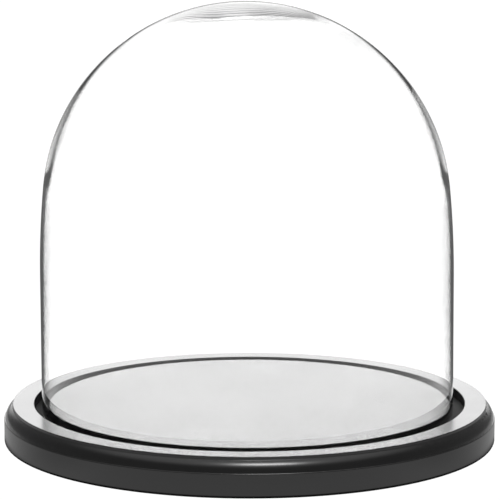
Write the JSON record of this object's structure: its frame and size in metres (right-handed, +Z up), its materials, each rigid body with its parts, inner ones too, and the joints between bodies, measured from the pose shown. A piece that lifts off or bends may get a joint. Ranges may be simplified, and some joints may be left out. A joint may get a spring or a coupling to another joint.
{
  "type": "bell jar display dome",
  "caption": "Clear glass bell dome that lifts straight up off a round moulded black wooden base with a ring groove, to cover and show a small object.",
  "frame": {"origin": "centre of the footprint, on the surface that the felt pads stand on", "axes": "+Z up along the axis of revolution of the base and the dome; -Y faces the viewer, though the base and dome look the same from every side"},
  "size_m": [0.3048, 0.3048, 0.2743],
  "materials": {
    "clear_glass": "clear polished blown glass",
    "black_lacquered_wood": "satin black lacquer over turned wood",
    "black_felt": "short fuzzy felt"
  },
  "bodies": {
    "base": {"wooden_base": "black_lacquered_wood", "felt_pad_1": "black_felt", "felt_pad_2": "black_felt", "felt_pad_3": "black_felt", "felt_pad_4": "black_felt"},
    "dome": {"glass_dome": "clear_glass"}
  },
  "joints": [
    {"name": "dome_lift", "type": "slide", "parent": "base", "child": "dome", "axis": [0, 0, 1], "range_m": [0, 0.3]}
  ]
}
